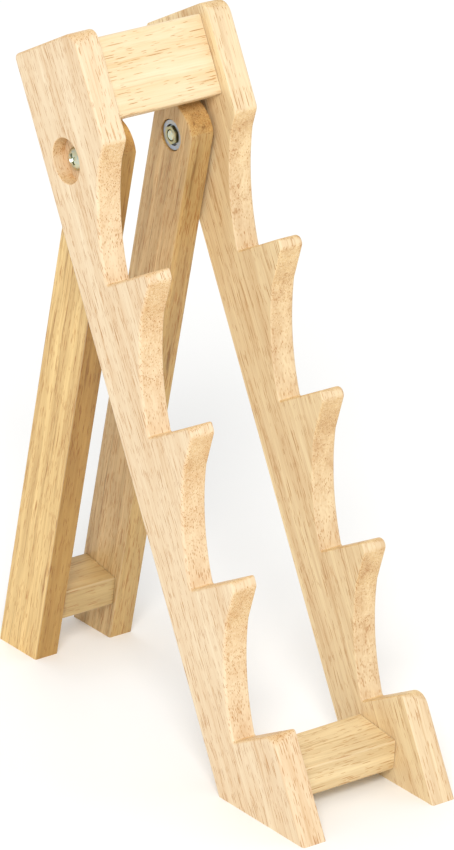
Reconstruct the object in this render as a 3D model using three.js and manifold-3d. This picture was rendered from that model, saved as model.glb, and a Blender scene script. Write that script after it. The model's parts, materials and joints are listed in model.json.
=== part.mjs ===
// A small folding A-frame rack in solid wood, for instruments that rest on its stepped ledges.
//
// Two stepped side rails, a head board and a front stretcher make the front frame. Two straight legs
// and a rear stretcher make the rear frame, which swings between the rails on one machine bolt a side.
// When the rack is open, a bevel at the top of each leg bears on the back of the head board.
//
// Millimetres and degrees. +X is across the rack, -Y is its front and +Z is up. The origin is on the
// ground, in the middle of the footprint. Each frame is modelled in axes of its own:
//   a rail's axes start at its heel: "up" follows its straight back edge, "forward" is square to it;
//   a leg's axes start at the pivot: "up" follows the leg, "forward" is square to it.

import * as THREE from 'three';
import { mergeVertices } from 'three/addons/utils/BufferGeometryUtils.js';
import Module from 'manifold-3d';

const wasm = await Module();
wasm.setup();

// ---------------------------------------------------------------- driving dimensions

const CLEARANCE = 0.3; // left between two pieces that touch
const ARRIS = 1.0; // chamfer along the edges of the rails and legs
const ARC_STEPS = 4; // straight pieces in half of each arc of an outline
const POINT_MERGE = 1e-3; // points of an outline nearer than this are one

// the whole rack
const INNER_WIDTH = 70; // between the two rails
const RAIL_LEAN = 27; // of a rail, from upright, when the rack is open
const LEG_LEAN = 14; // of a leg, from upright, the other way

// side rails; depths are square to the back edge and heights run along it
const RAIL_THICKNESS = 15;
const LEDGES = 4;
const LOWEST_LEDGE = 26.5; // above the heel
const LEDGE_PITCH = 83;
const HEAD_RISE = 131.5; // from the highest ledge to the top
const SPINE_DEPTH = 28.5; // of the rail where a ledge starts
const NOSE_DEPTH = 69.5; // of the rail at a ledge's nose
const HEAD_DEPTH = 62.5;
const FOOT_DEPTH = 68;
const NOSE_FACE = 5.8; // height of a nose before its edges are rounded
const THROAT_DEPTH = 53.3; // of the rail where the straight slope under a nose starts
const THROAT_SLOPE = 46; // of that slope, from the back edge
const SCOOP_RADIUS = 138; // of the hollow from a ledge up to that slope
const NOSE_TOP_RADIUS = 3;
const NOSE_UNDER_RADIUS = 6;
const HEAD_UNDER_RADIUS = 4;
const HEAD_FRONT_RADIUS = 8;
const HEAD_BACK_RADIUS = 2.5;
const FOOT_TOP_RADIUS = 5;

// head board
const BOARD_TOP_DROP = 5; // below the top of the rails
const BOARD_HEIGHT = 44;
const BOARD_THICKNESS = 18;
const BOARD_SETBACK = 7.5; // behind the front of the heads
const BOARD_CORNER = 1.5;

// pivot, in the rail's axes
const PIVOT_DROP = 13.5; // below the head board
const PIVOT_FORWARD = 22.5;

// rear legs
const LEG_THICKNESS = 15;
const LEG_WIDTH = 35;
const LEG_END_CLEARANCE = 0.5; // of its rounded top end, as it turns under the head board
const LEG_RISE = 31; // above the pivot
const SIDE_GAP = 2.4; // between a leg and its rail

// stretchers
const STRETCHER_HEIGHT = 18;
const STRETCHER_CORNER = 1.5;
const FRONT_STRETCHER_DEPTH = 33;
const FRONT_STRETCHER_UP = 4.5; // its middle, in the rail's axes
const FRONT_STRETCHER_FORWARD = 32;
const FRONT_STRETCHER_TILT = 6; // from level, front edge down
const REAR_STRETCHER_DEPTH = 29.5;
const REAR_STRETCHER_DROP = 293; // its middle, below the pivot
const REAR_STRETCHER_FORWARD = 0;
const REAR_STRETCHER_TILT = 4; // from square to the leg, front edge up

// dowels that join the board and the stretchers to the frames
const DOWEL_DIAMETER = 8;
const DOWEL_LENGTH = 24;
const DOWEL_IN_FRAME = 10; // how much of it is in the rail or leg
const DOWEL_CHAMFER = 1;
const DOWEL_STEPS = 16; // around it
const BOARD_DOWEL_SPACING = 24;
const STRETCHER_DOWEL_SPACING = 14;

// pivot hardware
const BOLT_DIAMETER = 6;
const BOLT_HEAD_DIAMETER = 13;
const BOLT_HEAD_HEIGHT = 3.8;
const BOLT_HEAD_RIM = 0.9;
const BOLT_TIP_CHAMFER = 0.5;
const BOLT_HOLE_PLAY = 0.6; // on the diameter
const CROSS_LENGTH = 9.5; // cross recess in the bolt head
const CROSS_WIDTH = 2;
const CROSS_DEPTH = 2;
const COUNTERBORE_DIAMETER = 25;
const COUNTERBORE_DEPTH = 8;
const RECESS_DIAMETER = 17.5; // in the inner face of a leg
const RECESS_DEPTH = 3.6;
const CUP_DIAMETER = 16.8; // steel cup that lines the recess
const CUP_BORE = 11.6; // round the nut
const CUP_HEIGHT = 2.3;
const CUP_FLOOR = 0.8;
const NUT_FLATS = 9.4;
const NUT_HEIGHT = 2.4;
const NUT_CHAMFER = 0.9;
const SPACER_DIAMETER = 18;

// ---------------------------------------------------------------- worked out from them

const radians = THREE.MathUtils.degToRad;
const lean = radians(RAIL_LEAN);
const splay = radians(LEG_LEAN);
const opening = lean + splay; // between a rail and its leg

const highestLedge = LOWEST_LEDGE + (LEDGES - 1) * LEDGE_PITCH;
const railLength = highestLedge + HEAD_RISE;
const boardBottom = railLength - BOARD_TOP_DROP - BOARD_HEIGHT;
const boardBack = HEAD_DEPTH - BOARD_SETBACK - BOARD_THICKNESS;
const boardMiddle = {
  forward: boardBack + BOARD_THICKNESS / 2,
  up: boardBottom + BOARD_HEIGHT / 2,
};
const frontStretcherMiddle = { forward: FRONT_STRETCHER_FORWARD, up: FRONT_STRETCHER_UP };
const rearStretcherMiddle = { forward: REAR_STRETCHER_FORWARD, up: -REAR_STRETCHER_DROP };
const frontStretcherTurn = lean + radians(FRONT_STRETCHER_TILT);
const rearStretcherTurn = -radians(REAR_STRETCHER_TILT);
const pivot = { forward: PIVOT_FORWARD, up: boardBottom - PIVOT_DROP };

// Distances out from the middle of the rack, along X.
const railInside = INNER_WIDTH / 2;
const railOutside = railInside + RAIL_THICKNESS;
const legOutside = railInside - SIDE_GAP;
const legInside = legOutside - LEG_THICKNESS;
const counterboreFloor = railOutside - COUNTERBORE_DEPTH;
const recessFloor = legInside + RECESS_DEPTH;
const cupOutside = recessFloor - CLEARANCE;
const nutOutside = cupOutside - CUP_FLOOR - CLEARANCE;
const nutInside = nutOutside - NUT_HEIGHT;
const boltHole = BOLT_DIAMETER + BOLT_HOLE_PLAY;
const sides = [
  [-1, 'left'],
  [1, 'right'],
];

// Where a point in a rail's axes stands in the open rack, measured back and up from the heel.
function standing(point) {
  return {
    back: point.up * Math.sin(lean) - point.forward * Math.cos(lean),
    height: point.up * Math.cos(lean) + point.forward * Math.sin(lean),
  };
}

const toe = { forward: FOOT_DEPTH, up: -FOOT_DEPTH * Math.tan(lean) };
const pivotStand = standing(pivot);

// Height along a leg, below the pivot, at which its level sole is cut.
function soleUp(forward) {
  return (forward * Math.sin(splay) - pivotStand.height) / Math.cos(splay);
}

const legBack = -LEG_WIDTH / 2;
const legFront = LEG_WIDTH / 2;
const rearHeelBack =
  pivotStand.back - soleUp(legBack) * Math.sin(splay) - legBack * Math.cos(splay);
const footprintMiddle = (standing(toe).back + rearHeelBack) / 2;

// ---------------------------------------------------------------- finishes

function finish(color, roughness, metalness) {
  return new THREE.MeshStandardMaterial({ color, roughness, metalness });
}

const finishes = {
  rail: () => finish(0xf0d3a4, 0.5, 0),
  board: () => finish(0xf8e4b4, 0.5, 0),
  stretcher: () => finish(0xe9cb97, 0.5, 0),
  leg: () => finish(0xdcb47a, 0.5, 0),
  dowel: () => finish(0xd9b98a, 0.6, 0),
  bolt: () => finish(0xc3c6b4, 0.3, 1),
  washer: () => finish(0xa9afb8, 0.35, 1),
  nut: () => finish(0xb3ad83, 0.35, 1),
};

// ---------------------------------------------------------------- joining and cutting

function toSolid(geometry) {
  const bare = geometry.clone();
  bare.deleteAttribute('normal');
  bare.deleteAttribute('uv');
  const merged = mergeVertices(bare, 1e-4);
  return new wasm.Manifold(
    new wasm.Mesh({
      numProp: 3,
      vertProperties: merged.attributes.position.array,
      triVerts: new Uint32Array(merged.index.array),
    }),
  );
}

function toGeometry(solid) {
  const mesh = solid.getMesh();
  const geometry = new THREE.BufferGeometry();
  geometry.setAttribute('position', new THREE.BufferAttribute(mesh.vertProperties, 3));
  geometry.setIndex(new THREE.BufferAttribute(mesh.triVerts, 1));
  geometry.computeVertexNormals();
  return geometry;
}

function cut(geometry, tools) {
  let solid = toSolid(geometry);
  for (const tool of tools) {
    solid = solid.subtract(toSolid(tool));
  }
  return toGeometry(solid);
}

// ---------------------------------------------------------------- shapes

// Turns an outline drawn in (forward, up) and thick along its third axis so that it stands in a
// frame's group: forward becomes -Y, up becomes +Z and the thickness runs along X.
const standUp = new THREE.Matrix4().makeBasis(
  new THREE.Vector3(0, -1, 0),
  new THREE.Vector3(0, 0, 1),
  new THREE.Vector3(-1, 0, 0),
);

// An outline's points, less the doubled ones where an arc starts at the end of the line before it.
function distinctPoints(outline) {
  const points = outline.getPoints(ARC_STEPS);
  return points.filter((point, index) => {
    const next = points[(index + 1) % points.length];
    return point.distanceTo(next) > POINT_MERGE;
  });
}

// A plate of an outline, with its thickness centred on X = 0 and its edges chamfered.
function plate(outline, thickness, chamfer) {
  const geometry = new THREE.ExtrudeGeometry(new THREE.Shape(distinctPoints(outline)), {
    depth: thickness - 2 * chamfer,
    bevelEnabled: chamfer > 0,
    bevelThickness: chamfer,
    bevelSize: chamfer,
    bevelOffset: -chamfer,
    bevelSegments: 1,
  });
  geometry.translate(0, 0, chamfer - thickness / 2);
  return geometry.applyMatrix4(standUp);
}

// A bar of a rounded rectangular section, centred on the origin and running along X.
function bar(depth, height, length, corner) {
  const right = depth / 2;
  const top = height / 2;
  const outline = new THREE.Shape();
  outline.moveTo(right, -top + corner);
  outline.absarc(right - corner, top - corner, corner, 0, Math.PI / 2, false);
  outline.absarc(-right + corner, top - corner, corner, Math.PI / 2, Math.PI, false);
  outline.absarc(-right + corner, -top + corner, corner, Math.PI, 1.5 * Math.PI, false);
  outline.absarc(right - corner, -top + corner, corner, 1.5 * Math.PI, 2 * Math.PI, false);
  return plate(outline, length, 0);
}

// A cylinder along X between two distances from the middle, at a point of the frame's own axes.
function drill(diameter, from, to, point) {
  const steps = Math.max(16, 4 * Math.ceil(diameter / 2));
  const geometry = new THREE.CylinderGeometry(diameter / 2, diameter / 2, Math.abs(to - from), steps);
  geometry.rotateZ(Math.PI / 2);
  geometry.translate((from + to) / 2, -point.forward, point.up);
  return geometry;
}

// A turned piece whose profile gives radius and distance along X, outwards on that side.
function turned(profile, steps) {
  const points = profile.map(([radius, along]) => new THREE.Vector2(radius, along));
  return new THREE.LatheGeometry(points, steps).rotateZ(-Math.PI / 2);
}

// ---------------------------------------------------------------- side rails

// The front edge above a ledge, from the ledge's inner corner at height "start" up to a front face
// at "depth": the hollow scoop, the straight throat and the rounded edge where the face starts.
function scoop(outline, start, depth, radius) {
  const slope = radians(THROAT_SLOPE);
  const throatRise = LEDGE_PITCH - NOSE_FACE - (NOSE_DEPTH - THROAT_DEPTH) / Math.tan(slope);
  const chord = new THREE.Vector2(THROAT_DEPTH - SPINE_DEPTH, throatRise);
  const halfTurn = Math.asin(chord.length() / 2 / SCOOP_RADIUS);
  // "first" and "last" are the ways from the scoop's centre to its two ends.
  const first = chord.angle() + Math.PI / 2 + halfTurn;
  const last = first - 2 * halfTurn;
  outline.absarc(
    SPINE_DEPTH - SCOOP_RADIUS * Math.cos(first),
    start - SCOOP_RADIUS * Math.sin(first),
    SCOOP_RADIUS,
    first,
    last,
    true,
  );
  const faceRise = throatRise + (depth - THROAT_DEPTH) / Math.tan(slope);
  const edgeRise = faceRise + radius * Math.tan(slope / 2);
  outline.absarc(depth - radius, start + edgeRise, radius, -slope, 0, false);
}

function roundCorner(outline, forward, up, radius) {
  outline.absarc(forward - radius, up - radius, radius, 0, Math.PI / 2, false);
}

function railOutline() {
  const outline = new THREE.Shape();
  outline.moveTo(0, 0);
  outline.lineTo(toe.forward, toe.up);
  roundCorner(outline, FOOT_DEPTH, LOWEST_LEDGE, FOOT_TOP_RADIUS);
  outline.lineTo(SPINE_DEPTH, LOWEST_LEDGE);
  for (let ledge = 1; ledge < LEDGES; ledge += 1) {
    const start = LOWEST_LEDGE + (ledge - 1) * LEDGE_PITCH;
    scoop(outline, start, NOSE_DEPTH, NOSE_UNDER_RADIUS);
    roundCorner(outline, NOSE_DEPTH, start + LEDGE_PITCH, NOSE_TOP_RADIUS);
    outline.lineTo(SPINE_DEPTH, start + LEDGE_PITCH);
  }
  scoop(outline, highestLedge, HEAD_DEPTH, HEAD_UNDER_RADIUS);
  roundCorner(outline, HEAD_DEPTH, railLength, HEAD_FRONT_RADIUS);
  outline.absarc(
    HEAD_BACK_RADIUS,
    railLength - HEAD_BACK_RADIUS,
    HEAD_BACK_RADIUS,
    Math.PI / 2,
    Math.PI,
    false,
  );
  outline.lineTo(0, 0);
  return outline;
}

// ---------------------------------------------------------------- dowels

// The two dowel centres in the end of a bar: "tilt" turns the line between them away from up.
function dowelCentres(middle, spacing, tilt) {
  return [-0.5, 0.5].map((share) => ({
    forward: middle.forward + share * spacing * Math.sin(tilt),
    up: middle.up + share * spacing * Math.cos(tilt),
  }));
}

// The board's dowels are one above the other, and the stretchers' one behind the other.
const boardDowels = dowelCentres(boardMiddle, BOARD_DOWEL_SPACING, 0);
const frontDowels = dowelCentres(
  frontStretcherMiddle,
  STRETCHER_DOWEL_SPACING,
  Math.PI / 2 + frontStretcherTurn,
);
const rearDowels = dowelCentres(
  rearStretcherMiddle,
  STRETCHER_DOWEL_SPACING,
  Math.PI / 2 + rearStretcherTurn,
);

// The sockets for dowels that cross from a frame piece, whose inner face is at "face", to a bar.
function sockets(centres, side, face) {
  const radiusPlay = 2 * CLEARANCE;
  const from = side * (face + DOWEL_IN_FRAME + CLEARANCE);
  const to = side * (face + DOWEL_IN_FRAME - DOWEL_LENGTH - CLEARANCE);
  return centres.map((centre) => drill(DOWEL_DIAMETER + radiusPlay, from, to, centre));
}

// ---------------------------------------------------------------- building the pieces

const rack = new THREE.Group();
rack.name = 'folding_rack';

const frontFrame = new THREE.Group();
frontFrame.position.set(0, -footprintMiddle, 0);
frontFrame.rotation.x = -lean;
rack.add(frontFrame);

const rearFrame = new THREE.Group();
rearFrame.position.set(0, pivotStand.back - footprintMiddle, pivotStand.height);
rearFrame.rotation.x = splay;
rack.add(rearFrame);

function add(group, name, geometry, material) {
  const mesh = new THREE.Mesh(geometry, material);
  mesh.name = name;
  group.add(mesh);
  return mesh;
}

function addRail(side, name) {
  const blank = plate(railOutline(), RAIL_THICKNESS, ARRIS);
  blank.translate(side * (railInside + RAIL_THICKNESS / 2), 0, 0);
  const past = RAIL_THICKNESS;
  const tools = [
    drill(boltHole, side * (railInside - past), side * (railOutside + past), pivot),
    drill(COUNTERBORE_DIAMETER, side * counterboreFloor, side * (railOutside + past), pivot),
    ...sockets(boardDowels, side, railInside),
    ...sockets(frontDowels, side, railInside),
  ];
  add(frontFrame, `rail_${name}`, cut(blank, tools), finishes.rail());
}

// A leg's top end is round about the pivot, to turn under the head board, and then bevelled, to
// bear on the board's back when the rack is open.
function legOutline() {
  const toBoard = boardBack - PIVOT_FORWARD;
  const endRadius = Math.hypot(toBoard, PIVOT_DROP) - LEG_END_CLEARANCE;
  const toBevel = toBoard - CLEARANCE;
  const roundStart = Math.acos(Math.min(1, legFront / endRadius));
  const roundEnd = opening + Math.acos(toBevel / endRadius);
  const bevelEnd = (toBevel - LEG_RISE * Math.sin(opening)) / Math.cos(opening);
  const outline = new THREE.Shape();
  outline.moveTo(legBack, soleUp(legBack));
  outline.lineTo(legFront, soleUp(legFront));
  outline.lineTo(legFront, endRadius * Math.sin(roundStart));
  outline.absarc(0, 0, endRadius, roundStart, roundEnd, false);
  outline.lineTo(bevelEnd, LEG_RISE);
  outline.lineTo(legBack, LEG_RISE);
  outline.lineTo(legBack, soleUp(legBack));
  return outline;
}

function addLeg(side, name) {
  const blank = plate(legOutline(), LEG_THICKNESS, ARRIS);
  blank.translate(side * (legInside + LEG_THICKNESS / 2), 0, 0);
  const past = LEG_THICKNESS;
  const centre = { forward: 0, up: 0 };
  const tools = [
    drill(boltHole, side * (legInside - past), side * (legOutside + past), centre),
    drill(RECESS_DIAMETER, side * (legInside - past), side * recessFloor, centre),
    ...sockets(rearDowels, side, legInside),
  ];
  add(rearFrame, `leg_${name}`, cut(blank, tools), finishes.leg());
}

// A bar between the inner faces of two frame pieces, turned about X, with sockets for its dowels.
function addBar(group, name, material, { depth, height, corner, middle, turn, inside, dowels }) {
  const blank = bar(depth, height, 2 * (inside - CLEARANCE), corner);
  blank.rotateX(turn);
  blank.translate(0, -middle.forward, middle.up);
  const tools = sides.flatMap(([side]) => sockets(dowels, side, inside));
  add(group, name, cut(blank, tools), material);
}

function addDowels(group, name, centres, inside) {
  const half = DOWEL_LENGTH / 2;
  const radius = DOWEL_DIAMETER / 2;
  const profile = [
    [0, -half],
    [radius - DOWEL_CHAMFER, -half],
    [radius, -half + DOWEL_CHAMFER],
    [radius, half - DOWEL_CHAMFER],
    [radius - DOWEL_CHAMFER, half],
    [0, half],
  ];
  for (const [side, sideName] of sides) {
    centres.forEach((centre, index) => {
      const nodeName = `${name}_dowel_${sideName}_${index + 1}`;
      const dowel = add(group, nodeName, turned(profile, DOWEL_STEPS), finishes.dowel());
      dowel.position.set(side * (inside + DOWEL_IN_FRAME - half), -centre.forward, centre.up);
    });
  }
}

// ---------------------------------------------------------------- pivot hardware

// A round-headed bolt with a cross recess, along X, with its head's bearing face at X = 0.
function boltGeometry(length) {
  const headRadius = BOLT_HEAD_DIAMETER / 2;
  const shank = BOLT_DIAMETER / 2;
  const dome = BOLT_HEAD_HEIGHT - BOLT_HEAD_RIM;
  const domeSteps = 6;
  const profile = [
    [0, -length],
    [shank - BOLT_TIP_CHAMFER, -length],
    [shank, -length + BOLT_TIP_CHAMFER],
    [shank, 0],
    [headRadius, 0],
  ];
  for (let step = 0; step < domeSteps; step += 1) {
    const angle = (step / domeSteps) * (Math.PI / 2);
    profile.push([headRadius * Math.cos(angle), BOLT_HEAD_RIM + dome * Math.sin(angle)]);
  }
  profile.push([0, BOLT_HEAD_HEIGHT]);
  const slots = [0, Math.PI / 2].map((angle) => {
    const slot = new THREE.BoxGeometry(2 * CROSS_DEPTH, CROSS_LENGTH, CROSS_WIDTH);
    return slot.rotateX(angle).translate(BOLT_HEAD_HEIGHT, 0, 0);
  });
  return cut(turned(profile, 24), slots);
}

function ring(outer, inner, thickness) {
  const profile = [
    [inner / 2, 0],
    [outer / 2, 0],
    [outer / 2, thickness],
    [inner / 2, thickness],
    [inner / 2, 0],
  ];
  return turned(profile, 28);
}

// A cup from X = 0, at its rim, outwards to its floor.
function cupGeometry() {
  const floor = CUP_HEIGHT - CUP_FLOOR;
  const profile = [
    [boltHole / 2, floor],
    [CUP_BORE / 2, floor],
    [CUP_BORE / 2, 0],
    [CUP_DIAMETER / 2, 0],
    [CUP_DIAMETER / 2, CUP_HEIGHT],
    [boltHole / 2, CUP_HEIGHT],
    [boltHole / 2, floor],
  ];
  return turned(profile, 28);
}

// A hexagonal nut from X = 0 outwards, chamfered at its inner end.
function nutGeometry() {
  const corner = NUT_FLATS / Math.sqrt(3);
  const prism = new THREE.CylinderGeometry(corner, corner, NUT_HEIGHT, 6);
  prism.rotateZ(Math.PI / 2).translate(NUT_HEIGHT / 2, 0, 0);
  const cone = turned(
    [
      [0, 0],
      [NUT_FLATS / 2, 0],
      [NUT_FLATS / 2 + NUT_CHAMFER, NUT_CHAMFER / 2],
      [NUT_FLATS / 2 + NUT_CHAMFER, NUT_HEIGHT],
      [0, NUT_HEIGHT],
    ],
    36,
  );
  const bore = drill(boltHole, -NUT_HEIGHT, 2 * NUT_HEIGHT, { forward: 0, up: 0 });
  return toGeometry(toSolid(prism).intersect(toSolid(cone)).subtract(toSolid(bore)));
}

// Every pivot piece points outwards on its own side: a half turn about Z faces it to the left.
function addOnPivot(side, name, geometry, out, material) {
  const piece = add(frontFrame, name, geometry, material);
  piece.position.set(side * out, -pivot.forward, pivot.up);
  piece.rotation.z = side < 0 ? Math.PI : 0;
}

function addPivot(side, name) {
  const bearing = counterboreFloor + CLEARANCE;
  const spacerThickness = SIDE_GAP - 2 * CLEARANCE;
  const bolt = boltGeometry(bearing - nutInside);
  const spacer = ring(SPACER_DIAMETER, boltHole, spacerThickness);
  addOnPivot(side, `bolt_${name}`, bolt, bearing, finishes.bolt());
  addOnPivot(side, `spacer_${name}`, spacer, legOutside + CLEARANCE, finishes.washer());
  addOnPivot(side, `nut_cup_${name}`, cupGeometry(), cupOutside - CUP_HEIGHT, finishes.washer());
  addOnPivot(side, `nut_${name}`, nutGeometry(), nutInside, finishes.nut());
}

// ---------------------------------------------------------------- the rack

for (const [side, name] of sides) {
  addRail(side, name);
  addLeg(side, name);
  addPivot(side, name);
}

addBar(frontFrame, 'head_board', finishes.board(), {
  depth: BOARD_THICKNESS,
  height: BOARD_HEIGHT,
  corner: BOARD_CORNER,
  middle: boardMiddle,
  turn: 0,
  inside: railInside,
  dowels: boardDowels,
});
addBar(frontFrame, 'front_stretcher', finishes.stretcher(), {
  depth: FRONT_STRETCHER_DEPTH,
  height: STRETCHER_HEIGHT,
  corner: STRETCHER_CORNER,
  middle: frontStretcherMiddle,
  turn: frontStretcherTurn,
  inside: railInside,
  dowels: frontDowels,
});
addBar(rearFrame, 'rear_stretcher', finishes.stretcher(), {
  depth: REAR_STRETCHER_DEPTH,
  height: STRETCHER_HEIGHT,
  corner: STRETCHER_CORNER,
  middle: rearStretcherMiddle,
  turn: rearStretcherTurn,
  inside: legInside,
  dowels: rearDowels,
});
addDowels(frontFrame, 'board', boardDowels, railInside);
addDowels(frontFrame, 'front', frontDowels, railInside);
addDowels(rearFrame, 'rear', rearDowels, legInside);

export default rack;
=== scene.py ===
"""A small folding A-frame rack in clear-lacquered hardwood, for instruments."""

import json
import math

import bmesh
import bpy
from bpy.props import FloatProperty, FloatVectorProperty, IntProperty, PointerProperty
from mathutils import Matrix, Vector

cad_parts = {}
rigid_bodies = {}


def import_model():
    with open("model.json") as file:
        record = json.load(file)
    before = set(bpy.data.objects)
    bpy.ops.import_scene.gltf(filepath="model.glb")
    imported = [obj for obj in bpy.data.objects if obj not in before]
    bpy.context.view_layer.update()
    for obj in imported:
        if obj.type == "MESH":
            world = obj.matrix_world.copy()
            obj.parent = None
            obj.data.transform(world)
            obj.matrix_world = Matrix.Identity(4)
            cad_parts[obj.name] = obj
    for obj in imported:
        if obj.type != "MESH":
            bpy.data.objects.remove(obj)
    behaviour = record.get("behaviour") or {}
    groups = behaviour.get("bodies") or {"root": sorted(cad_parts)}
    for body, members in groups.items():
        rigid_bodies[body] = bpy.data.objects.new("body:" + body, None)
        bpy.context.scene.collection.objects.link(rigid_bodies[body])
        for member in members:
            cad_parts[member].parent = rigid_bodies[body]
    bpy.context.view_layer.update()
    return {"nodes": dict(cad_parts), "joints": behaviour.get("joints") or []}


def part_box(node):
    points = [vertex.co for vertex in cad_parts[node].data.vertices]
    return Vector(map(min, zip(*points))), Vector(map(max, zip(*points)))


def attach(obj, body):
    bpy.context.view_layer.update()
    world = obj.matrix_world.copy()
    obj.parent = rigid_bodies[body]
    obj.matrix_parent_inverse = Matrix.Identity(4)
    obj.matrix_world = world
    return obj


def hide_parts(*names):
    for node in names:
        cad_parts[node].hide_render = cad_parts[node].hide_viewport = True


bl_info = {
    "name": "Folding A-frame rack",
    "version": (1, 0, 0),
    "blender": (4, 5, 0),
    "location": "3D View > Sidebar > Rack",
    "description": "Builds a folding wooden instrument rack around its packed frame",
    "category": "Object",
}

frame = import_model()

MM = 0.001
SAME = 1e-7  # metres within which two points are one
ON_SOLE = 1e-6  # metres within which a corner lies on a sole
LEG_SOLE_BELOW = -300 * MM  # in a leg's axes, where only the corners of its sole are
SHARP_ANGLE = math.radians(38)
WHITE = (1.0, 1.0, 1.0, 1.0)
HINGE = frame["joints"][0]
PIVOT = Vector(HINGE["pos_m"])
FRONT = HINGE["parent"]
REAR = HINGE["child"]
SIDES = {"left": -1, "right": 1}


# ---------------------------------------------------------------- sizes and colours


def length(name, description, millimetres):
    return FloatProperty(
        name=name,
        description=description,
        default=millimetres * MM,
        min=0.0,
        unit="LENGTH",
        subtype="DISTANCE",
        precision=4,
    )


def angle(name, description, degrees):
    return FloatProperty(
        name=name,
        description=description,
        default=math.radians(degrees),
        unit="ROTATION",
        subtype="ANGLE",
    )


def share(name, description, value):
    return FloatProperty(
        name=name,
        description=description,
        default=value,
        min=0.0,
        max=1.0,
        subtype="FACTOR",
    )


def colour(name, description, value):
    return FloatVectorProperty(
        name=name,
        description=description,
        default=value,
        size=3,
        min=0.0,
        max=1.0,
        subtype="COLOR",
    )


class RackRailSizes(bpy.types.PropertyGroup):
    lean: angle("Lean", "Lean of the rails from upright", 27)
    pivot_up: length("Pivot up", "Height of the pivot above the heel, along the back edge", 344.5)
    pivot_forward: length("Pivot forward", "Depth of the pivot from the back edge", 22.5)
    rise: length("Length", "Length of the back edge, from heel to top", 407)
    ledges: IntProperty(name="Ledges", description="Number of ledges", default=4, min=1)
    lowest: length("Lowest ledge", "Height of the lowest ledge above the heel", 26.5)
    pitch: length("Pitch", "Height from one ledge to the next", 83)
    spine: length("Spine depth", "Depth of the rail where a ledge starts", 28.5)
    nose: length("Nose depth", "Depth of the rail at a nose", 69.5)
    head: length("Head depth", "Depth of the head", 62.5)
    foot: length("Foot depth", "Depth of the foot", 68)
    nose_face: length("Nose face", "Height of a nose before its edges are rounded", 5.8)
    throat: length("Throat depth", "Depth of the rail where the slope under a nose starts", 53.3)
    slope: angle("Throat slope", "Slope under a nose, from the back edge", 46)
    scoop: length("Scoop radius", "Radius of the hollow above a ledge", 138)
    under: length("Under-nose radius", "Radius of the edge under a nose", 4)
    tip_inner: length("Inner nose radius", "Radius of a nose at the inner face", 1.4)
    tip_outer: length("Outer nose radius", "Radius of a nose at the outer face", 4)
    head_inner: length("Inner head radius", "Radius of the head at the inner face", 6.5)
    head_outer: length("Outer head radius", "Radius of the head at the outer face", 9)
    foot_inner: length("Inner foot radius", "Radius of the foot at the inner face", 1.6)
    foot_outer: length("Outer foot radius", "Radius of the foot at the outer face", 9)
    back_corner: length("Back corner radius", "Radius of the head's back corner", 3)
    fillet: length("Ledge fillet", "Radius of the inner corner of a ledge", 1.4)
    arris_inner: length("Inner arris", "Rounding along the inner face", 1.0)
    arris_outer: length("Outer arris", "Rounding along the outer face", 1.9)
    counterbore: length("Counterbore", "Diameter of the hollow round the bolt head", 25)
    counterbore_depth: length("Counterbore depth", "Depth of that hollow", 8)
    bolt_hole: length("Bolt hole", "Diameter of the bolt's hole", 6.6)


class RackLegSizes(bpy.types.PropertyGroup):
    lean: angle("Lean", "Lean of the rear legs from upright, the other way", 14)
    width: length("Width", "Width of a leg, seen from the side", 35)
    end_radius: length("End radius", "Radius of the rounded top end about the pivot", 19.31)
    bevel: length("Stop bevel", "Distance of the stop bevel from the pivot", 14.2)
    rise: length("Rise", "Height of the top end above the pivot", 31)
    corner: length("Corner", "Rounding of the top end's corners", 1.2)
    arris: length("Arris", "Rounding along the edges", 1.1)
    recess: length("Recess", "Diameter of the hollow round the nut", 17.5)
    recess_depth: length("Recess depth", "Depth of that hollow", 3.6)
    bolt_hole: length("Bolt hole", "Diameter of the bolt's hole", 6.6)


class RackBarSizes(bpy.types.PropertyGroup):
    board_thickness: length("Board thickness", "Thickness of the head board", 18)
    board_height: length("Board height", "Height of the head board", 44)
    board_bottom: length("Board bottom", "Height of its lower edge above the heel", 358)
    board_back: length("Board back", "Depth of its back from the rail's back edge", 37)
    board_arris: length("Board arris", "Rounding along the board's edges", 1.8)
    height: length("Stretcher height", "Height of a stretcher", 18)
    front_depth: length("Front depth", "Depth of the front stretcher", 33)
    front_up: length("Front up", "Height of the front stretcher's middle above the heel", 4.5)
    front_forward: length("Front forward", "Depth of its middle from the back edge", 32)
    front_turn: angle("Front turn", "Turn of the front stretcher from the rail", 33)
    rear_depth: length("Rear depth", "Depth of the rear stretcher", 29.5)
    rear_drop: length("Rear drop", "Drop of the rear stretcher's middle below the pivot", 293)
    rear_turn: angle("Rear turn", "Turn of the rear stretcher from square to the leg", -4)
    arris: length("Stretcher arris", "Rounding along the stretchers' edges", 1.6)


class RackHardwareSizes(bpy.types.PropertyGroup):
    head: length("Bolt head", "Diameter of a bolt head", 13)
    head_height: length("Head height", "Height of a bolt head", 3.8)
    shank: length("Shank", "Diameter of a bolt's shank", 6)
    cross: length("Cross", "Length of the cross recess", 9.5)
    cross_width: length("Cross width", "Width of the cross recess", 2)
    cross_depth: length("Cross depth", "Depth of the cross recess", 2)
    hole: length("Hole", "Diameter of the holes in the spacers, cups and nuts", 6.6)
    cup_bore: length("Cup bore", "Diameter of a cup's hollow round the nut", 11.6)
    cup_floor: length("Cup floor", "Thickness of a cup's floor", 0.8)
    flats: length("Nut flats", "Width of a nut across its flats", 9.4)


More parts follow.
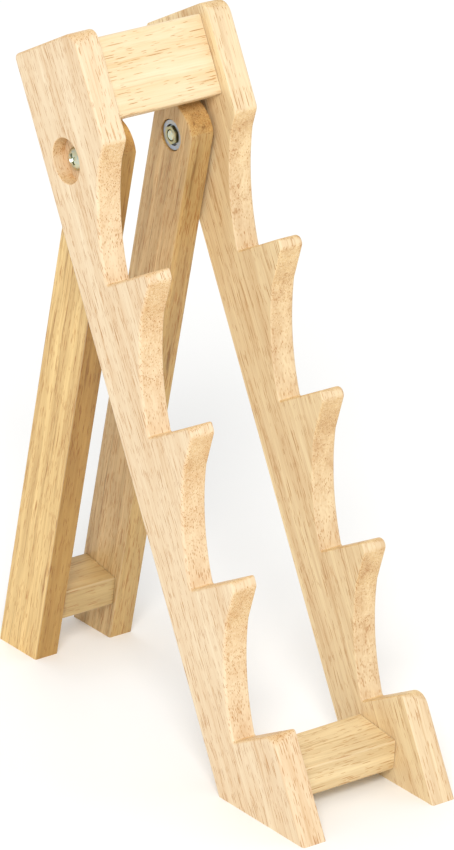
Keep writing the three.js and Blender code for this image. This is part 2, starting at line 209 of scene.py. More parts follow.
class RackFinishes(bpy.types.PropertyGroup):
    near_light: colour("Left rail light", "Pale wood of the left rail", (0.86, 0.71, 0.49))
    near_dark: colour("Left rail dark", "Dark streaks of the left rail", (0.66, 0.42, 0.21))
    far_light: colour("Right rail light", "Pale wood of the right rail", (0.88, 0.73, 0.45))
    far_dark: colour("Right rail dark", "Dark streaks of the right rail", (0.56, 0.34, 0.15))
    board_light: colour("Board light", "Pale wood of the head board", (0.84, 0.71, 0.48))
    board_dark: colour("Board dark", "Dark streaks of the head board", (0.72, 0.47, 0.20))
    leg_light: colour("Left leg light", "Pale wood of the left leg", (0.88, 0.63, 0.27))
    leg_dark: colour("Left leg dark", "Dark streaks of the left leg", (0.42, 0.22, 0.06))
    # Partly the right leg's own greyer wood, partly painted shade: the whole leg is darkened for
    # the shade on its lower part.
    far_leg_light: colour("Right leg light", "Pale wood of the right leg", (0.72, 0.53, 0.27))
    far_leg_dark: colour("Right leg dark", "Dark streaks of the right leg", (0.30, 0.18, 0.07))
    stretcher_light: colour("Stretcher light", "Pale wood of the stretchers", (0.88, 0.71, 0.42))
    stretcher_dark: colour("Stretcher dark", "Dark streaks of the stretchers", (0.50, 0.32, 0.13))
    # Painted shade: the rear stretcher is a darker copy of the stretcher wood, for the shade at
    # the lower back.
    rear_bar_shaded_light: colour("Rear stretcher light", "Its pale wood", (0.58, 0.42, 0.19))
    rear_bar_shaded_dark: colour("Rear stretcher dark", "Its dark streaks", (0.32, 0.19, 0.07))
    dowel_light: colour("Dowel light", "Pale wood of the dowels", (0.70, 0.50, 0.30))
    dowel_dark: colour("Dowel dark", "Dark streaks of the dowels", (0.50, 0.32, 0.17))
    pore: colour("Pores", "Open pores of the wood", (0.34, 0.145, 0.05))
    end_tint: colour("End grain", "Tint where the cut crosses the fibres", (0.90, 0.74, 0.50))
    bolt: colour("Bolt zinc", "Zinc of the bolts", (0.60, 0.62, 0.52))
    washer: colour("Spacer and cup zinc", "Zinc of the spacers and the cups", (0.40, 0.42, 0.48))
    nut: colour("Nut zinc", "Yellowish zinc of the nuts", (0.42, 0.39, 0.24))
    lacquer: share("Lacquer", "Weight of the clear lacquer", 0.12)


class RackStage(bpy.types.PropertyGroup):
    azimuth: angle("Azimuth", "Direction of the camera, from straight in front", -35.83)
    elevation: angle("Elevation", "Height of the camera above the horizon", 22.78)
    distance: length("Distance", "Distance from the camera to where it looks", 3188.65)
    aim: FloatVectorProperty(
        name="Aim",
        description="Where the camera looks",
        default=(-0.0178, -0.0424, 0.1928),
        size=3,
        unit="LENGTH",
        subtype="XYZ",
    )
    lens: FloatProperty(name="Lens", description="Focal length in millimetres", default=257.5)
    floor: colour("Floor", "Colour of the floor", (0.93, 0.93, 0.92))
    ambient: share("Ambient", "Strength of the even light all round", 0.74)


# ---------------------------------------------------------------- shader expressions


class Signal:
    """An output socket of a material's nodes, which can be used in sums."""

    def __init__(self, nodes, socket):
        self.nodes = nodes
        self.socket = socket

    def combine(self, operation, *values):
        return self.nodes.add("ShaderNodeMath", {"operation": operation}, dict(enumerate(values)))

    def __add__(self, other):
        return self.combine("ADD", self, other)

    def __radd__(self, other):
        return self.combine("ADD", other, self)

    def __sub__(self, other):
        return self.combine("SUBTRACT", self, other)

    def __rsub__(self, other):
        return self.combine("SUBTRACT", other, self)

    def __mul__(self, other):
        return self.combine("MULTIPLY", self, other)

    def __rmul__(self, other):
        return self.combine("MULTIPLY", other, self)

    def __truediv__(self, other):
        return self.combine("DIVIDE", self, other)

    def __abs__(self):
        return self.combine("ABSOLUTE", self)

    def maximum(self, other):
        return self.combine("MAXIMUM", self, other)

    def step_up(self, start, end):
        """0 below start, 1 above end and a smooth step between them."""
        return self.nodes.add(
            "ShaderNodeMapRange",
            {"interpolation_type": "SMOOTHSTEP", "clamp": True},
            {"Value": self, "From Min": start, "From Max": end, "To Min": 0.0, "To Max": 1.0},
        )


class Nodes:
    """The nodes of one finish, with a Principled shader whose sockets they feed."""

    def __init__(self, name):
        self.material = bpy.data.materials.new(name)
        self.material.use_nodes = True
        self.tree = self.material.node_tree
        self.shader = self.tree.nodes["Principled BSDF"]

    def add(self, kind, settings=None, inputs=None, output=0):
        node = self.tree.nodes.new(kind)
        for key, value in (settings or {}).items():
            setattr(node, key, value)
        for key, value in (inputs or {}).items():
            self.feed(node.inputs[key], value)
        return Signal(self, node.outputs[output])

    def feed(self, socket, value):
        if isinstance(value, Signal):
            self.tree.links.new(value.socket, socket)
        else:
            socket.default_value = value

    def surface(self, **inputs):
        """Feeds the shader's sockets, each named in lower case with underscores."""
        for key, value in inputs.items():
            self.feed(self.shader.inputs[key.replace("_", " ").title()], value)

    def parts(self, vector):
        return [
            self.add("ShaderNodeSeparateXYZ", None, {"Vector": vector}, output)
            for output in range(3)
        ]

    def vector(self, x, y, z):
        return self.add("ShaderNodeCombineXYZ", None, {"X": x, "Y": y, "Z": z})

    def dot(self, vector, direction):
        return self.add(
            "ShaderNodeVectorMath",
            {"operation": "DOT_PRODUCT"},
            {0: vector, 1: direction},
            "Value",
        )

    def noise(self, place, detail, roughness=0.55):
        return self.add(
            "ShaderNodeTexNoise",
            None,
            {"Vector": place, "Scale": 1.0, "Detail": detail, "Roughness": roughness},
        )

    def mix(self, factor, first, second, blend="MIX"):
        return self.add(
            "ShaderNodeMix",
            {"data_type": "RGBA", "blend_type": blend, "clamp_factor": True},
            {0: factor, 6: first, 7: second},
            2,
        )


def opaque(tone):
    return (*tone, 1.0)


# ---------------------------------------------------------------- wood


class Plank:
    """How the grain lies in a piece: the turn of the piece about X, and the way of its grain."""

    def __init__(self, turn, along_x=False):
        self.turn = turn
        self.along_x = along_x

    def grain(self):
        if self.along_x:
            return (1.0, 0.0, 0.0)
        return (0.0, -math.sin(self.turn), math.cos(self.turn))

    def across(self):
        return (0.0, math.cos(self.turn), math.sin(self.turn))

    def through(self):
        if self.along_x:
            return (0.0, -math.sin(self.turn), math.cos(self.turn))
        return (1.0, 0.0, 0.0)


def wood(name, light, dark, plank, pores, streaks, front=(1.0, 1.0, 1.0)):
    """Clear-lacquered hardwood with open pores, in three dimensions, so that cuts show end grain.

    "front" tints and darkens the faces that look forward: painted shade where those faces lie in
    shadow.
    """
    finishes = bpy.context.scene.rack_finishes
    n = Nodes(name)
    place = n.add("ShaderNodeTexCoord", None, None, "Object")
    normal = n.add("ShaderNodeTexCoord", None, None, "Normal")
    millimetres = n.add(
        "ShaderNodeMapping",
        {"vector_type": "POINT"},
        {"Vector": place, "Scale": (1 / MM,) * 3},
    )
    along = n.dot(millimetres, plank.grain())
    across = n.dot(millimetres, plank.across())
    through = n.dot(millimetres, plank.through())

    def stretched(long, wide, deep=None):
        return n.vector(along / long, across / wide, through / (deep or wide))

    mottle = n.noise(stretched(70, 24), 2.0)
    across = across + (mottle - 0.5) * 6
    bands = n.noise(stretched(210, 6.5, 8), 3.0, 0.6)
    fibres = n.noise(stretched(26, 0.85), 4.0, 0.7)
    threads = n.noise(stretched(48, 1.5, 2.2), 2.0, 0.5)
    lines = n.noise(stretched(85, 0.95, 1.4), 1.0, 0.5).step_up(0.54, 0.70)
    streak = threads.step_up(0.55, 0.74) * bands.step_up(0.40, 0.60)
    tone = (bands - 0.5) * 1.3 + (fibres - 0.5) * 0.8 + (mottle - 0.5) * 0.6 + 0.30
    base = n.mix(tone, opaque(light), opaque(dark))
    base = n.mix(streak * streaks, base, opaque(dark))
    base = n.mix(lines * 0.42, base, n.mix(1.0, base, (0.80, 0.66, 0.50, 1.0), "MULTIPLY"))

    marks = None
    for long, wide, size, strength in (
        (26, 1.05, 0.27, 1.0),
        (15, 0.85, 0.27, 0.95),
        (8, 0.7, 0.27, 0.85),
    ):
        cells = {"Vector": stretched(long, wide), "Scale": 1.0, "Randomness": 1.0}
        distance = n.add("ShaderNodeTexVoronoi", {"feature": "F1"}, cells, "Distance")
        lot = n.add("ShaderNodeTexVoronoi", {"feature": "F1"}, cells, "Color")
        draw = n.add("ShaderNodeSeparateColor", None, {"Color": lot}, "Red")
        depth = n.add("ShaderNodeSeparateColor", None, {"Color": lot}, "Green")
        chance = (bands - 0.5) * 1.4 + pores
        mark = (1 - distance.step_up(size * 0.6, size)) * (chance - draw).step_up(0.0, 0.10)
        mark = mark * (depth * 0.6 + 0.4) * strength
        marks = mark if marks is None else marks.maximum(mark)
    halo = n.mix(1.0, base, (0.86, 0.66, 0.46, 1.0), "MULTIPLY")
    base = n.mix(marks.step_up(0.0, 0.5), base, halo)
    base = n.mix(marks * 0.62, base, opaque(finishes.pore))

    crossing = abs(n.dot(normal, plank.grain())).step_up(0.08, 0.8)
    speckle = n.noise(stretched(2.6, 0.6), 2.0, 0.6)
    end_tone = n.mix(speckle.step_up(0.35, 0.7), opaque(finishes.end_tint), (1.0, 0.95, 0.84, 1.0))
    base = n.mix(crossing * 0.85, base, n.mix(1.0, base, end_tone, "MULTIPLY"))
    backward = n.dot(normal, plank.across())
    # Painted shade: faces that look forward are multiplied by the "front" tint.
    painted_shade_front_faces = (backward * -1).step_up(0.2, 0.8)
    base = n.mix(painted_shade_front_faces, base, n.mix(1.0, base, opaque(front), "MULTIPLY"))

    # Lightens the rounded edges, found where the normal lies between two face directions: partly
    # edge wear, partly a painted highlight.
    sideways = n.dot(normal, plank.through())
    arris = (sideways * sideways * (1 - sideways * sideways) * 4).maximum(
        backward * backward * (1 - backward * backward) * 4
    )
    arris = arris * (1 - crossing)
    base = n.mix(arris.step_up(0.35, 1.0) * 0.12, base, (1.0, 0.90, 0.70, 1.0))

    relief = fibres * 0.35 + bands * 0.2 - marks * 0.9
    bump = n.add(
        "ShaderNodeBump",
        None,
        {"Strength": 0.55, "Distance": 0.00012, "Height": relief},
    )
    n.surface(
        base_color=base,
        roughness=(fibres - 0.5) * 0.25 + marks * 0.2 + crossing * 0.08 + 0.5,
        normal=bump,
    )
    n.shader.inputs["Coat Weight"].default_value = finishes.lacquer
    n.shader.inputs["Coat Roughness"].default_value = 0.3
    n.shader.inputs["IOR"].default_value = 1.45
    return n.material


# ---------------------------------------------------------------- zinc plate


def zinc(name, tone, roughness):
    """Zinc plate with a faint passivated bloom and fine scuffs."""
    n = Nodes(name)
    place = n.add(
        "ShaderNodeMapping",
        {"vector_type": "POINT"},
        {"Vector": n.add("ShaderNodeTexCoord", None, None, "Object"), "Scale": (1 / MM,) * 3},
    )
    x, y, z = n.parts(place)
    bloom = n.noise(n.vector(x / 2.2, y / 2.2, z / 2.2), 3.0, 0.6)
    scuffs = n.noise(n.vector(x / 0.25, y / 0.9, z / 0.9), 3.0, 0.7)
    warm = tuple(c * k for c, k in zip(tone, (1.12, 1.02, 0.78)))
    cool = tuple(c * k for c, k in zip(tone, (0.86, 0.98, 1.08)))
    base = n.mix(bloom.step_up(0.35, 0.65), opaque(cool), opaque(warm))
    base = n.mix(scuffs.step_up(0.55, 0.8) * 0.35, base, opaque([c * 0.55 for c in tone]))
    bump = n.add("ShaderNodeBump", None, {"Strength": 0.4, "Distance": 0.00004, "Height": scuffs})
    n.surface(base_color=base, roughness=scuffs * 0.22 + (roughness - 0.08), normal=bump)
    n.shader.inputs["Metallic"].default_value = 1.0
    return n.material


# ---------------------------------------------------------------- shaping


def rail_axes():
    """From a rail's axes, (X, back, up) from its heel, to the open rack's."""
    rail = bpy.context.scene.rack_rail
    heel = Matrix.Translation((0, rail.pivot_forward, -rail.pivot_up))
    return Matrix.Translation(PIVOT) @ Matrix.Rotation(-rail.lean, 4, "X") @ heel


def leg_axes():
    """From a leg's axes, (X, back, up) from the pivot, to the open rack's."""
    leg = bpy.context.scene.rack_leg
    return Matrix.Translation(PIVOT) @ Matrix.Rotation(leg.lean, 4, "X")


def faces_x(node, side):
    """Where a piece's inner and outer faces are along X."""
    low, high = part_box(node)
    return (low.x, high.x) if side > 0 else (high.x, low.x)


class Outline:
    """A closed line in a plane square to X, drawn corner by corner in (forward, up)."""

    def __init__(self, bm, x):
        self.bm = bm
        self.x = x
        self.ends = []
        self.rounds = []

    def corner(self, forward, up, radius=0.0):
        vert = self.bm.verts.new((self.x, -forward, up))
        if self.ends:
            self.bm.edges.new((self.ends[-1], vert))
        self.ends.append(vert)
        if radius > 0:
            self.rounds.append((vert, radius))

    def sweep(self, forward, up, turn, steps):
        """Carries the line on round a centre, by a turn from up towards back."""
        centre = (self.x, -forward, up)
        made = bmesh.ops.spin(
            self.bm, geom=[self.ends[-1]], cent=centre, axis=(1, 0, 0), angle=turn, steps=steps
        )
        self.ends.append(made["geom_last"][0])

    def close(self, steps=7):
        self.bm.edges.new((self.ends[-1], self.ends[0]))
        for vert, radius in self.rounds:
            first, second = (edge.other_vert(vert).co - vert.co for edge in vert.link_edges)
            reach = radius / math.tan(first.angle(second) / 2)
            bmesh.ops.bevel(
                self.bm,
                geom=[vert],
                offset=reach,
                offset_type="OFFSET",
                segments=steps,
                profile=0.5,
                affect="VERTICES",
                material=-1,
            )


def edges_at(bm, x):
    return [e for e in bm.edges if all(abs(v.co.x - x) < SAME for v in e.verts)]


def slab(bm, inner_x, outer_x, arris_inner, arris_outer, is_sole):
    """Turns two outlines into a solid with rounded arrises. Edges of the level sole stay sharp."""
    loops = [edges_at(bm, inner_x), edges_at(bm, outer_x)]
    for loop in loops:
        bmesh.ops.contextual_create(bm, geom=loop)
    bmesh.ops.bridge_loops(bm, edges=loops[0] + loops[1])
    bmesh.ops.recalc_face_normals(bm, faces=bm.faces)
    for x, arris in ((inner_x, arris_inner), (outer_x, arris_outer)):
        rim = [e for e in edges_at(bm, x) if not is_sole(e)]
        bmesh.ops.bevel(
            bm,
            geom=rim,
            offset=arris,
            offset_type="OFFSET",
            segments=4,
            profile=0.5,
            affect="EDGES",
            clamp_overlap=False,
            material=-1,
        )


def circle(bm, x, radius, forward, up, steps=64):
    made = bmesh.ops.create_circle(
        bm,
        cap_ends=False,
        radius=radius,
        segments=steps,
        matrix=Matrix.Translation((x, -forward, up)) @ Matrix.Rotation(math.pi / 2, 4, "Y"),
    )
    return list({edge for vert in made["verts"] for edge in vert.link_edges})


def bore(bm, forward, up, stations):
    """Cuts a stepped round hole through a slab: stations are (x, radius), from face to face."""
    loops = [circle(bm, x, radius, forward, up) for x, radius in stations]
    for first, second in zip(loops, loops[1:]):
        bmesh.ops.bridge_loops(bm, edges=first + second)
    for x, loop in ((stations[0][0], loops[0]), (stations[-1][0], loops[-1])):
        flat = [f for f in bm.faces if all(abs(v.co.x - x) < SAME for v in f.verts)]
        wall = max(flat, key=lambda f: f.calc_area())
        rim = list(wall.edges)
        bmesh.ops.delete(bm, geom=[wall], context="FACES_ONLY")
        bmesh.ops.triangle_fill(bm, use_beauty=True, use_dissolve=False, edges=rim + loop)


def turned(bm, profile, steps=48):
    """Spins a profile of (x, radius) once round X."""
    verts = [bm.verts.new((x, 0, radius)) for x, radius in profile]
    edges = [bm.edges.new(pair) for pair in zip(verts, verts[1:])]
    bmesh.ops.spin(
        bm,
        geom=verts + edges,
        cent=(0, 0, 0),
        axis=(1, 0, 0),
        angle=math.tau,
        steps=steps,
        use_merge=True,
    )
    bmesh.ops.remove_doubles(bm, verts=bm.verts, dist=SAME)
    bmesh.ops.recalc_face_normals(bm, faces=bm.faces)


def as_object(bm, name):
    mesh = bpy.data.meshes.new(name)
    bm.to_mesh(mesh)
    bm.free()
    piece = bpy.data.objects.new(name, mesh)
    bpy.context.scene.collection.objects.link(piece)
    return piece


def carved(bm, tool, operation):
    """The first shape cut by, or kept only inside, the second."""
    blank = as_object(bm, "blank")
    cutter = as_object(tool, "cutter")
    modifier = blank.modifiers.new("Carve", "BOOLEAN")
    modifier.object = cutter
    modifier.operation = operation
    modifier.solver = "EXACT"
    graph = bpy.context.evaluated_depsgraph_get()
    result = bmesh.new()
    result.from_object(blank, graph)
    for piece in (blank, cutter):
        mesh = piece.data
        bpy.data.objects.remove(piece)
        bpy.data.meshes.remove(mesh)
    bmesh.ops.remove_doubles(result, verts=result.verts, dist=SAME)
    return result


def finish_piece(bm, name, material, body, node):
    """Makes the piece that stands for a node and rides on its body."""
    bmesh.ops.remove_doubles(bm, verts=bm.verts, dist=SAME)
    bmesh.ops.recalc_face_normals(bm, faces=bm.faces)
    for face in bm.faces:
        face.smooth = True
    for edge in bm.edges:
        edge.smooth = edge.calc_face_angle(0.0) < SHARP_ANGLE
    open_edges = [e for e in bm.edges if len(e.link_faces) != 2]
    if open_edges:
        raise RuntimeError(f"{name} is not closed: {len(open_edges)} open edges")
    piece = as_object(bm, name)
    piece.data.materials.append(material)
    weighted = piece.modifiers.new("Even shading", "WEIGHTED_NORMAL")
    weighted.keep_sharp = True
    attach(piece, body)
    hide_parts(node)
    return piece


# ---------------------------------------------------------------- the pieces


def draw_rail(bm, x, tip, head_corner, foot_corner):
    rail = bpy.context.scene.rack_rail
    rise = rail.pitch - rail.nose_face - (rail.nose - rail.throat) / math.tan(rail.slope)
    chord = Vector((rail.throat - rail.spine, rise))
    half_turn = math.asin(chord.length / 2 / rail.scoop)
    first = math.atan2(chord.y, chord.x) + math.pi / 2 + half_turn
    outline = Outline(bm, x)
    outline.corner(0, 0)
    outline.corner(rail.foot, -rail.foot * math.tan(rail.lean))
    outline.corner(rail.foot, rail.lowest, foot_corner)
    for ledge in range(rail.ledges):
        start = rail.lowest + ledge * rail.pitch
        last = ledge == rail.ledges - 1
        depth = rail.head if last else rail.nose
        outline.corner(rail.spine, start, rail.fillet)
        outline.sweep(
            rail.spine - rail.scoop * math.cos(first),
            start - rail.scoop * math.sin(first),
            2 * half_turn,
            22,
        )
        face_up = start + rise + (depth - rail.throat) / math.tan(rail.slope)
        outline.corner(depth, face_up, rail.under)
        if last:
            outline.corner(depth, rail.rise, head_corner)
        else:
            outline.corner(depth, start + rail.pitch, tip)
    outline.corner(0, rail.rise, rail.back_corner)
    outline.close()


def draw_leg(bm, x, opening, height):
    leg = bpy.context.scene.rack_leg
    front = leg.width / 2

    def sole(forward):
        return (forward * math.sin(leg.lean) - height) / math.cos(leg.lean)

    start = math.acos(front / leg.end_radius)
    end = opening + math.acos(leg.bevel / leg.end_radius)
    outline = Outline(bm, x)
    outline.corner(-front, sole(-front))
    outline.corner(front, sole(front))
    outline.corner(front, leg.end_radius * math.sin(start))
    outline.sweep(0, 0, start - end, 14)
    bevel_end = (leg.bevel - leg.rise * math.sin(opening)) / math.cos(opening)
    outline.corner(bevel_end, leg.rise, leg.corner)
    outline.corner(-front, leg.rise, leg.corner)
    outline.close()


def bar(node, depth, height, arris, middle, turn):
    """A bar along X between two frame pieces, its long edges rounded."""
    low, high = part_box(node)
    bm = bmesh.new()
    size = Matrix.Diagonal((high.x - low.x, depth, height, 1))
    bmesh.ops.create_cube(bm, size=1, matrix=size)
    long = [e for e in bm.edges if abs((e.verts[0].co - e.verts[1].co).x) > depth]
    bmesh.ops.bevel(
        bm,
        geom=long,
        offset=arris,
        offset_type="OFFSET",
        segments=5,
        profile=0.5,
        affect="EDGES",
        material=-1,
    )
    shift = Matrix.Translation(((low.x + high.x) / 2, *middle)) @ Matrix.Rotation(turn, 4, "X")
    bmesh.ops.transform(bm, matrix=shift, verts=bm.verts)
    return bm


class RACK_OT_rails(bpy.types.Operator):
    """Builds the two stepped side rails"""

    bl_idname = "rack.rails"
    bl_label = "Side rails"

    def execute(self, context):
        rail = context.scene.rack_rail
        tones = context.scene.rack_finishes
        # The last entry of each coat tints and darkens the faces that look forward: painted shade.
        coats = {
            "left": (tones.near_light, tones.near_dark, 0.62, 0.5, (0.97, 0.96, 0.95)),
            "right": (tones.far_light, tones.far_dark, 0.45, 0.9, (0.94, 0.92, 0.96)),
        }
        for name, side in SIDES.items():
            inner, outer = faces_x(f"rail_{name}", side)
            bm = bmesh.new()
            draw_rail(bm, inner, rail.tip_inner, rail.head_inner, rail.foot_inner)
            draw_rail(bm, outer, rail.tip_outer, rail.head_outer, rail.foot_outer)
            slope = math.tan(rail.lean)
            slab(
                bm,
                inner,
                outer,
                rail.arris_inner,
                rail.arris_outer,
                lambda e: all(abs(v.co.z - v.co.y * slope) < ON_SOLE for v in e.verts),
            )
            floor = outer - side * rail.counterbore_depth
            wide = rail.counterbore / 2
            soft = 0.35 * MM
            bore(
                bm,
                rail.pivot_forward,
                rail.pivot_up,
                [
                    (outer, wide + soft),
                    (outer - side * soft, wide),
                    (floor, wide),
                    (floor, rail.bolt_hole / 2),
                    (inner, rail.bolt_hole / 2),
                ],
            )
            bmesh.ops.transform(bm, matrix=rail_axes(), verts=bm.verts)
            light, dark, pores, streaks, front = coats[name]
            material = wood(
                f"rail_wood_{name}", light, dark, Plank(-rail.lean), pores, streaks, front
            )
            finish_piece(bm, f"side_rail_{name}", material, FRONT, f"rail_{name}")
        return {"FINISHED"}


class RACK_OT_legs(bpy.types.Operator):
    """Builds the two straight rear legs"""

    bl_idname = "rack.legs"
    bl_label = "Rear legs"

    def execute(self, context):
        leg = context.scene.rack_leg
        rail = context.scene.rack_rail
        tones = context.scene.rack_finishes
        # The last entry of each coat darkens the faces that look forward: painted shade where the
        # rails shadow the legs.
        coats = {
            "left": (tones.leg_light, tones.leg_dark, 0.55, (0.54, 0.44, 0.28)),
            "right": (tones.far_leg_light, tones.far_leg_dark, 0.85, (0.88, 0.80, 0.62)),
        }
        for name, side in SIDES.items():
            inner, outer = faces_x(f"leg_{name}", side)
            bm = bmesh.new()
            for x in (inner, outer):
                draw_leg(bm, x, rail.lean + leg.lean, PIVOT.z)
            slab(
                bm,
                inner,
                outer,
                leg.arris,
                leg.arris,
                lambda e: all(v.co.z < LEG_SOLE_BELOW for v in e.verts),
            )
            floor = inner + side * leg.recess_depth
            wide = leg.recess / 2
            soft = 0.3 * MM
            bore(
                bm,
                0,
                0,
                [
                    (inner, wide + soft),
                    (inner + side * soft, wide),
                    (floor, wide),
                    (floor, leg.bolt_hole / 2),
                    (outer, leg.bolt_hole / 2),
                ],
            )
            bmesh.ops.transform(bm, matrix=leg_axes(), verts=bm.verts)
            light, dark, pores, front = coats[name]
            material = wood(f"leg_wood_{name}", light, dark, Plank(leg.lean), pores, 1.0, front)
            finish_piece(bm, f"rear_leg_{name}", material, REAR, f"leg_{name}")
        return {"FINISHED"}


class RACK_OT_head_board(bpy.types.Operator):
    """Builds the board between the heads of the rails"""

    bl_idname = "rack.head_board"
    bl_label = "Head board"

    def execute(self, context):
        bars = context.scene.rack_bar
        tones = context.scene.rack_finishes
        middle = (
            -(bars.board_back + bars.board_thickness / 2),
            bars.board_bottom + bars.board_height / 2,
        )
        bm = bar(
            "head_board", bars.board_thickness, bars.board_height, bars.board_arris, middle, 0
        )
        bmesh.ops.transform(bm, matrix=rail_axes(), verts=bm.verts)
        lean = context.scene.rack_rail.lean
        material = wood(
            "board_wood", tones.board_light, tones.board_dark, Plank(-lean, True), 0.22, 0.5
        )
        finish_piece(bm, "board_between_heads", material, FRONT, "head_board")
        return {"FINISHED"}


class RACK_OT_stretchers(bpy.types.Operator):
    """Builds the two stretchers"""

    bl_idname = "rack.stretchers"
    bl_label = "Stretchers"

    def execute(self, context):
        bars = context.scene.rack_bar
        rail = context.scene.rack_rail
        leg = context.scene.rack_leg
        tones = context.scene.rack_finishes
        front = bar(
            "front_stretcher",
            bars.front_depth,
            bars.height,
            bars.arris,
            (-bars.front_forward, bars.front_up),
            bars.front_turn,
        )
        bmesh.ops.transform(front, matrix=rail_axes(), verts=front.verts)
        rear = bar(
            "rear_stretcher",
            bars.rear_depth,
            bars.height,
            bars.arris,
            (0, -bars.rear_drop),
            bars.rear_turn,
        )
        bmesh.ops.transform(rear, matrix=leg_axes(), verts=rear.verts)
        for name, bm, body, turn, light, dark in (
            (
                "front",
                front,
                FRONT,
                bars.front_turn - rail.lean,
                tones.stretcher_light,
                tones.stretcher_dark,
            ),
            (
                "rear",
                rear,
                REAR,
                bars.rear_turn + leg.lean,
                # Darker tones for the rear stretcher: painted shade.
                tones.rear_bar_shaded_light,
                tones.rear_bar_shaded_dark,
            ),
        ):
            material = wood(
                f"stretcher_wood_{name}", light, dark, Plank(turn, True), 0.35, 0.9
            )
            finish_piece(
                bm, f"bar_{name}", material, body, f"{name}_stretcher"
            )
        return {"FINISHED"}


class RACK_OT_hardware(bpy.types.Operator):
    """Builds the bolt, spacer, cup and nut of each pivot"""

    bl_idname = "rack.hardware"
    bl_label = "Pivot hardware"

    def execute(self, context):
        sizes = context.scene.rack_hardware
        tones = context.scene.rack_finishes
        bolt_zinc = zinc("bolt_zinc", tones.bolt, 0.30)
        washer_zinc = zinc("washer_zinc", tones.washer, 0.34)
        nut_zinc = zinc("nut_zinc", tones.nut, 0.30)
        tilt = Matrix.Rotation(-context.scene.rack_rail.lean, 4, "X")
        for name, side in SIDES.items():
            turn = Matrix.Rotation(0 if side > 0 else math.pi, 4, "Z")
            pieces = (
                ("bolt", self.bolt(sizes), bolt_zinc, "bolt_zinc"),
                ("spacer", self.ring(f"spacer_{name}", sizes), washer_zinc, "washer_zinc"),
                ("nut_cup", self.cup(f"nut_cup_{name}", sizes), washer_zinc, "washer_zinc"),
                ("nut", self.nut(sizes), nut_zinc, "nut_zinc"),
            )
            for kind, bm, material, slot in pieces:
                node = f"{kind}_{name}"
                low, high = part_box(node)
                start = low.x if side > 0 else high.x
                place = Matrix.Translation((start, PIVOT.y, PIVOT.z)) @ tilt @ turn
                bmesh.ops.transform(bm, matrix=place, verts=bm.verts)
                finish_piece(bm, f"pivot_{node}", material, FRONT, node)
        return {"FINISHED"}

    def bolt(self, sizes):
        """From the tip at X = 0 outwards, with a domed head and a tapered cross recess."""
        low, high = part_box("bolt_right")
        total = high.x - low.x
        seat = total - sizes.head_height
        shank = sizes.shank / 2
        head = sizes.head / 2
        rim = 0.9 * MM
        dome = sizes.head_height - rim
        profile = [(0, 0), (0, shank - 0.5 * MM), (0.5 * MM, shank), (seat, shank)]
        profile += [(seat, head - 0.25 * MM), (seat + 0.25 * MM, head)]
        steps = 10
        for step in range(steps):
            turn = step / steps * math.pi / 2
            profile.append((seat + rim + dome * math.sin(turn), head * math.cos(turn)))
        profile.append((total, 0))
        bm = bmesh.new()
        turned(bm, profile)
        for turn in (0, math.pi / 2):
            tool = bmesh.new()
            made = bmesh.ops.create_cube(
                tool,
                size=1,
                matrix=Matrix.Diagonal((2 * sizes.cross_depth, sizes.cross, sizes.cross_width, 1)),
            )
            deep = [v for v in made["verts"] if v.co.x < 0]
            bmesh.ops.scale(tool, vec=(1, 0.5, 0.8), verts=deep)
            place = Matrix.Translation((total, 0, 0)) @ Matrix.Rotation(turn, 4, "X")
            bmesh.ops.transform(tool, matrix=place, verts=tool.verts)
            bm = carved(bm, tool, "DIFFERENCE")
        return bm

    def ring(self, node, sizes):
        """A flat ring from X = 0 outwards."""
        low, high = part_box(node)
        thick = high.x - low.x
        outer = (high.z - low.z) / 2
        inner = sizes.hole / 2
        soft = min(0.15 * MM, thick / 4)
        profile = [
            (0, inner),
            (0, outer - soft),
            (soft, outer),
            (thick - soft, outer),
            (thick, outer - soft),
            (thick, inner),
            (0, inner),
        ]
        bm = bmesh.new()
        turned(bm, profile, 64)
        return bm

    def cup(self, node, sizes):
        """A cup from X = 0, at its rim, outwards to its floor."""
        low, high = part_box(node)
        tall = high.x - low.x
        outer = (high.z - low.z) / 2
        bore = sizes.cup_bore / 2
        hole = sizes.hole / 2
        floor = tall - sizes.cup_floor
        soft = 0.2 * MM
        profile = [
            (floor, hole),
            (floor, bore - soft),
            (floor - soft, bore),
            (soft, bore),
            (0, bore + soft),
            (0, outer - soft),
            (soft, outer),
            (tall - soft, outer),
            (tall, outer - soft),
            (tall, hole),
            (floor, hole),
        ]
        bm = bmesh.new()
        turned(bm, profile, 64)
        return bm

    def nut(self, sizes):
        """A hexagon from X = 0 outwards, its corners chamfered at both ends, and bored."""
        low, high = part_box("nut_right")
        thick = high.x - low.x
        flat = sizes.flats / 2
        corner = flat / math.cos(math.pi / 6)
        hexagon = bmesh.new()
        bmesh.ops.create_cone(
            hexagon,
            cap_ends=True,
            segments=6,
            radius1=corner,
            radius2=corner,
            depth=thick,
            matrix=Matrix.Translation((thick / 2, 0, 0)) @ Matrix.Rotation(math.pi / 2, 4, "Y"),
        )
        rise = (corner - flat) * 0.6
        hole = sizes.hole / 2
        soft = 0.15 * MM
        face = flat * 0.90
        steps = 4
        shell = bmesh.new()
        profile = [(0, hole + soft), (0, face)]
        for step in range(1, steps + 1):
            turn = step / steps * math.pi / 2
            profile.append((rise * (1 - math.cos(turn)), face + corner * 0.24 * math.sin(turn)))
        profile += [
            (thick - rise, corner * 1.08),
            (thick, flat * 0.98),
            (thick, hole + soft),
            (thick - soft, hole),
            (soft, hole),
            (0, hole + soft),
        ]
        turned(shell, profile, 72)
        return carved(shell, hexagon, "INTERSECT")


class RACK_OT_dowels(bpy.types.Operator):
    """Finishes the dowels, whose shape is already right"""

    bl_idname = "rack.dowels"
    bl_label = "Dowels"

    def execute(self, context):
        tones = context.scene.rack_finishes
        material = wood(
            "dowel_wood", tones.dowel_light, tones.dowel_dark, Plank(0, True), 0.1, 0.3
        )
        for name, node in frame["nodes"].items():
            if "_dowel_" in name:
                for slot in node.material_slots:
                    slot.material = material
        return {"FINISHED"}


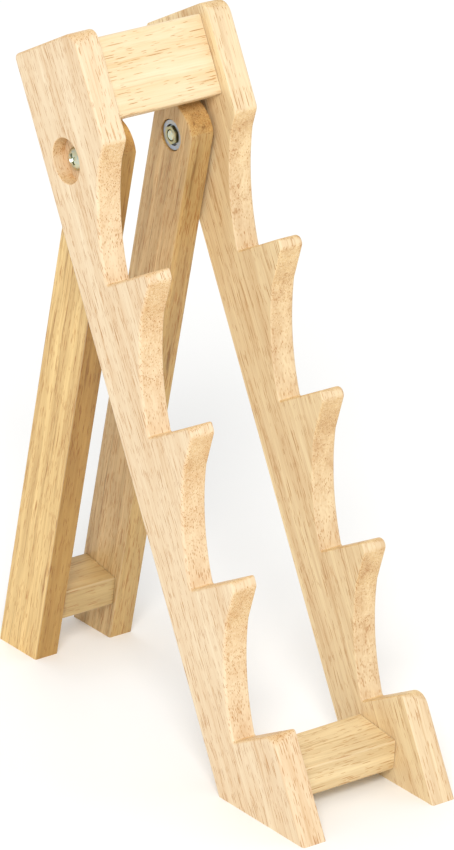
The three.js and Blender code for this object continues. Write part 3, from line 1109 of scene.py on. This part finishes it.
class RACK_OT_stage(bpy.types.Operator):
    """Builds the floor, the lights and the camera"""

    bl_idname = "rack.stage"
    bl_label = "Stage"

    def execute(self, context):
        scene = context.scene
        stage = scene.rack_stage
        aim = Vector(stage.aim)
        back = Vector(
            (
                math.sin(stage.azimuth) * math.cos(stage.elevation),
                -math.cos(stage.azimuth) * math.cos(stage.elevation),
                math.sin(stage.elevation),
            )
        )
        camera = bpy.data.objects.new("camera", bpy.data.cameras.new("camera"))
        camera.location = aim + back * stage.distance
        camera.rotation_mode = "QUATERNION"
        camera.rotation_quaternion = back.to_track_quat("Z", "Y")
        camera.data.lens = stage.lens
        camera.data.sensor_width = 36
        camera.data.clip_start = 0.05
        camera.data.clip_end = 50
        scene.collection.objects.link(camera)
        scene.camera = camera

        bm = bmesh.new()
        bmesh.ops.create_grid(bm, x_segments=1, y_segments=1, size=8)
        floor = as_object(bm, "floor")
        n = Nodes("floor_paper")
        grain = n.noise(n.add("ShaderNodeTexCoord", None, None, "Object"), 2.0)
        tone = opaque(stage.floor)
        n.surface(base_color=n.mix(grain * 0.03, tone, WHITE), roughness=0.9)
        n.shader.inputs["Specular IOR Level"].default_value = 0.0
        floor.data.materials.append(n.material)

        middle = Vector((0, 0, 0.18))
        for name, place, size, power, tint in (
            ("key", (-3.2, -4.2, 4.3), 2.2, 250, (1.0, 0.99, 0.97)),
            ("fill", (3.8, -3.2, 2.2), 3.0, 22, (1.0, 0.98, 0.96)),
            ("back", (0.8, 3.9, 3.4), 3.0, 40, (0.97, 0.98, 1.0)),
        ):
            light = bpy.data.lights.new(name, "AREA")
            light.shape = "SQUARE"
            light.size = size
            light.energy = power
            light.color = tint
            lamp = bpy.data.objects.new(name, light)
            lamp.location = place
            lamp.rotation_mode = "QUATERNION"
            lamp.rotation_quaternion = (Vector(place) - middle).to_track_quat("Z", "Y")
            scene.collection.objects.link(lamp)

        world = bpy.data.worlds.new("studio")
        world.use_nodes = True
        background = world.node_tree.nodes["Background"]
        background.inputs["Color"].default_value = WHITE
        background.inputs["Strength"].default_value = stage.ambient
        scene.world = world
        scene.view_settings.view_transform = "Standard"
        return {"FINISHED"}


class RACK_PT_sidebar(bpy.types.Panel):
    """Lists the rack's sizes, finishes and pieces"""

    bl_idname = "RACK_PT_sidebar"
    bl_label = "Folding rack"
    bl_space_type = "VIEW_3D"
    bl_region_type = "UI"
    bl_category = "Rack"

    def draw(self, context):
        for operator in OPERATORS:
            self.layout.operator(operator.bl_idname)
        for group in GROUPS:
            box = self.layout.box()
            values = getattr(context.scene, group)
            for key in GROUPS[group].__annotations__:
                box.prop(values, key)


GROUPS = {
    "rack_rail": RackRailSizes,
    "rack_leg": RackLegSizes,
    "rack_bar": RackBarSizes,
    "rack_hardware": RackHardwareSizes,
    "rack_finishes": RackFinishes,
    "rack_stage": RackStage,
}
OPERATORS = (
    RACK_OT_rails,
    RACK_OT_legs,
    RACK_OT_head_board,
    RACK_OT_stretchers,
    RACK_OT_hardware,
    RACK_OT_dowels,
    RACK_OT_stage,
)
CLASSES = (*GROUPS.values(), *OPERATORS, RACK_PT_sidebar)


def register():
    for cls in CLASSES:
        bpy.utils.register_class(cls)
    for name, group in GROUPS.items():
        setattr(bpy.types.Scene, name, PointerProperty(type=group))


def unregister():
    for name in GROUPS:
        delattr(bpy.types.Scene, name)
    for cls in reversed(CLASSES):
        bpy.utils.unregister_class(cls)


def main():
    register()
    bpy.ops.rack.rails()
    bpy.ops.rack.legs()
    bpy.ops.rack.head_board()
    bpy.ops.rack.stretchers()
    bpy.ops.rack.hardware()
    bpy.ops.rack.dowels()
    bpy.ops.rack.stage()


if __name__ == "__main__":
    main()
